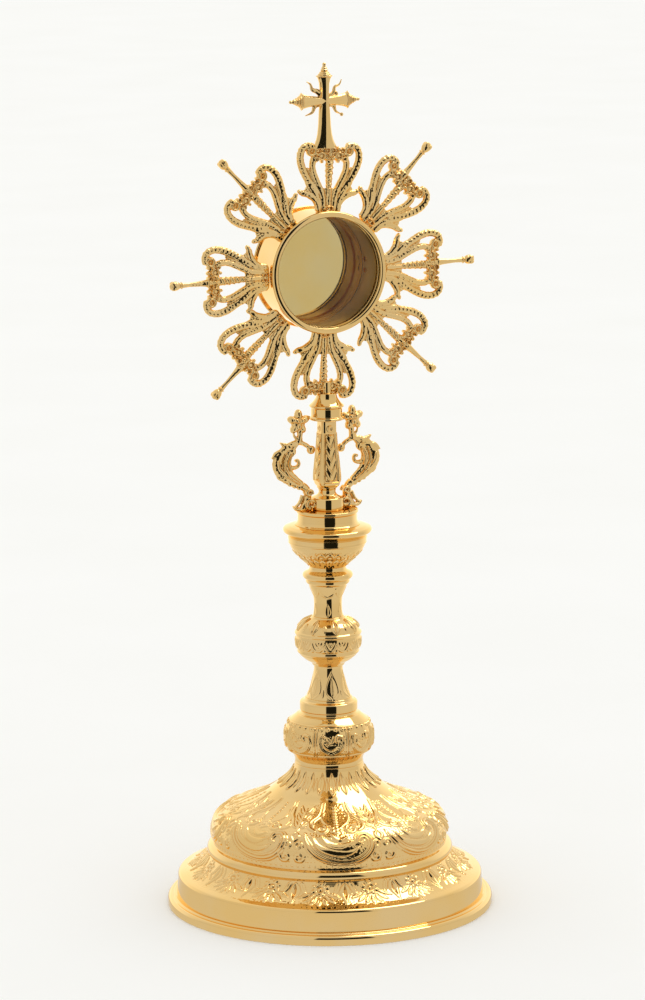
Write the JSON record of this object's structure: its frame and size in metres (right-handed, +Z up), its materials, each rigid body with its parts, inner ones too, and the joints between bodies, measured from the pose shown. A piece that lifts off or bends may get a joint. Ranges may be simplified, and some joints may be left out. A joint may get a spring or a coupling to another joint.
{
  "type": "monstrance",
  "caption": "Small gilt monstrance: round embossed foot, knopped stem with scroll brackets, openwork sunburst round a glazed case with a hinged back door, and a cross on top.",
  "frame": {"origin": "centre of the foot's underside, on the table", "axes": "+Z up along the stem; -Y is the glazed front; +X is to the right as seen from the front"},
  "size_m": [0.13, 0.13, 0.3352],
  "materials": {
    "gilt_chased": "gilt, chased and matt-punched",
    "gilt_polished": "gilt, burnished",
    "gilt_cast": "gilt casting",
    "clear_glass": "clear",
    "rod_steel": "plain steel"
  },
  "bodies": {
    "stand": {"foot_rim": "gilt_polished", "foot_shell": "gilt_chased", "clamp_washer": "gilt_polished", "rod_nut": "rod_steel", "tie_rod": "rod_steel", "neck_collar": "gilt_polished", "lower_knop": "gilt_chased", "knop_ring": "gilt_polished", "lower_vase": "gilt_chased", "middle_node": "gilt_chased", "upper_vase": "gilt_chased", "disc_collar": "gilt_polished", "cup": "gilt_chased", "cup_collar": "gilt_polished", "bracket_plinth": "gilt_polished", "baluster": "gilt_chased", "baluster_cap": "gilt_polished", "head_stud": "rod_steel", "scroll_bracket_right": "gilt_cast", "scroll_bracket_left": "gilt_cast", "palmette_top": "gilt_cast", "palmette_upper_right": "gilt_cast", "palmette_right": "gilt_cast", "palmette_lower_right": "gilt_cast", "palmette_bottom": "gilt_cast", "palmette_lower_left": "gilt_cast", "palmette_left": "gilt_cast", "palmette_upper_left": "gilt_cast", "ray_upper_right": "gilt_cast", "ray_right": "gilt_cast", "ray_lower_right": "gilt_cast", "ray_lower_left": "gilt_cast", "ray_left": "gilt_cast", "ray_upper_left": "gilt_cast", "cross": "gilt_cast", "case_drum": "gilt_polished", "bezel_ring": "gilt_polished", "front_glass": "clear_glass", "glass_retainer": "gilt_polished", "case_hinge_leaf": "gilt_polished", "hinge_pin": "gilt_polished", "case_rivets": "gilt_polished", "catch_lug": "gilt_polished", "catch_screw": "gilt_polished"},
    "door": {"back_door": "gilt_polished", "door_hinge_leaf": "gilt_polished", "door_rivets": "gilt_polished"},
    "catch": {"turn_catch": "gilt_polished"}
  },
  "joints": [
    {"name": "door_hinge", "type": "hinge", "parent": "stand", "child": "door", "pos_m": [0.0256, 0.0158, 0.2545], "axis": [0, 0, -1], "range_deg": [0, 110]},
    {"name": "catch_turn", "type": "hinge", "parent": "stand", "child": "catch", "pos_m": [-0.0259, 0.0167, 0.2545], "axis": [0, -1, 0], "range_deg": [0, 90]}
  ]
}
